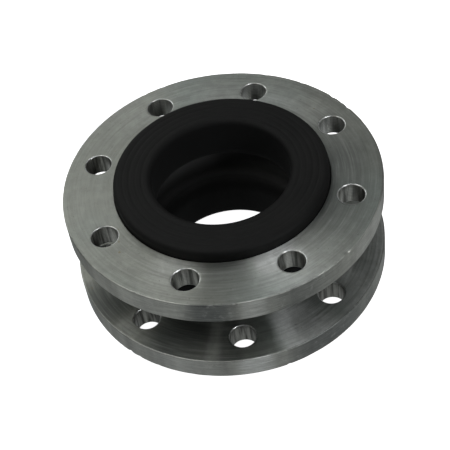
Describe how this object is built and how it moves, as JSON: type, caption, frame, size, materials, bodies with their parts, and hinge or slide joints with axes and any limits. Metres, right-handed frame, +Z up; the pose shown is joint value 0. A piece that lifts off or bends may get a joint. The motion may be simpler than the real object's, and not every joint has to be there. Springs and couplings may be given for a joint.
{
  "type": "rubber expansion joint",
  "caption": "Single-arch rubber bellows pipe joint with a loose steel flange at each end; the flanges swivel and the bellows stretches, shears and tilts.",
  "frame": {"origin": "centre of the lower sealing face, at the bottom of the bore axis", "axes": "+Z up the bore axis; the upper flange's bolt holes straddle the X and Y axes"},
  "size_m": [0.22, 0.22, 0.094],
  "materials": {
    "zinc_plated_steel": "turned, zinc plated, satin",
    "black_rubber": "moulded, matte",
    "nylon_cord": "rubberised cord fabric",
    "bead_wire": "bronze-coated drawn wire",
    "bead_rubber": "hard rubber, matte"
  },
  "bodies": {
    "lower_end": {"inner_liner": "black_rubber", "outer_cover": "black_rubber", "lower_bead_wires": "bead_wire", "lower_bead_filler": "bead_rubber"},
    "lower_flange": {"lower_flange": "zinc_plated_steel"},
    "tilt_x_stage": {"cord_ply_1": "nylon_cord"},
    "tilt_y_stage": {"cord_ply_2": "nylon_cord"},
    "axial_stage": {"cord_ply_3": "nylon_cord"},
    "lateral_x_stage": {"cord_ply_4": "nylon_cord"},
    "upper_end": {"upper_bead_wires": "bead_wire", "upper_bead_filler": "bead_rubber"},
    "upper_flange": {"upper_flange": "zinc_plated_steel"}
  },
  "joints": [
    {"name": "lower_flange_swivel", "type": "hinge", "parent": "lower_end", "child": "lower_flange", "pos_m": [0, 0, 0.01725], "axis": [0, 0, 1], "continuous": true},
    {"name": "angular_x", "type": "hinge", "parent": "lower_end", "child": "tilt_x_stage", "pos_m": [0, 0, 0.047], "axis": [1, 0, 0], "range_deg": [-8, 8], "stiffness_Nm_per_rad": 340, "deforming": ["inner_liner", "outer_cover", "cord_ply_1", "cord_ply_2", "cord_ply_3", "cord_ply_4"]},
    {"name": "angular_y", "type": "hinge", "parent": "tilt_x_stage", "child": "tilt_y_stage", "pos_m": [0, 0, 0.047], "axis": [0, 1, 0], "range_deg": [-8, 8], "stiffness_Nm_per_rad": 340, "deforming": ["inner_liner", "outer_cover", "cord_ply_1", "cord_ply_2", "cord_ply_3", "cord_ply_4"]},
    {"name": "axial_travel", "type": "slide", "parent": "tilt_y_stage", "child": "axial_stage", "axis": [0, 0, 1], "range_m": [-0.012, 0.008], "stiffness_N_per_m": 90000, "deforming": ["inner_liner", "outer_cover", "cord_ply_1", "cord_ply_2", "cord_ply_3", "cord_ply_4"]},
    {"name": "lateral_x", "type": "slide", "parent": "axial_stage", "child": "lateral_x_stage", "axis": [1, 0, 0], "range_m": [-0.008, 0.008], "stiffness_N_per_m": 80000, "deforming": ["inner_liner", "outer_cover", "cord_ply_1", "cord_ply_2", "cord_ply_3", "cord_ply_4"]},
    {"name": "lateral_y", "type": "slide", "parent": "lateral_x_stage", "child": "upper_end", "axis": [0, 1, 0], "range_m": [-0.008, 0.008], "stiffness_N_per_m": 80000, "deforming": ["inner_liner", "outer_cover", "cord_ply_1", "cord_ply_2", "cord_ply_3", "cord_ply_4"]},
    {"name": "upper_flange_swivel", "type": "hinge", "parent": "upper_end", "child": "upper_flange", "pos_m": [0, 0, 0.07675], "axis": [0, 0, 1], "continuous": true}
  ]
}
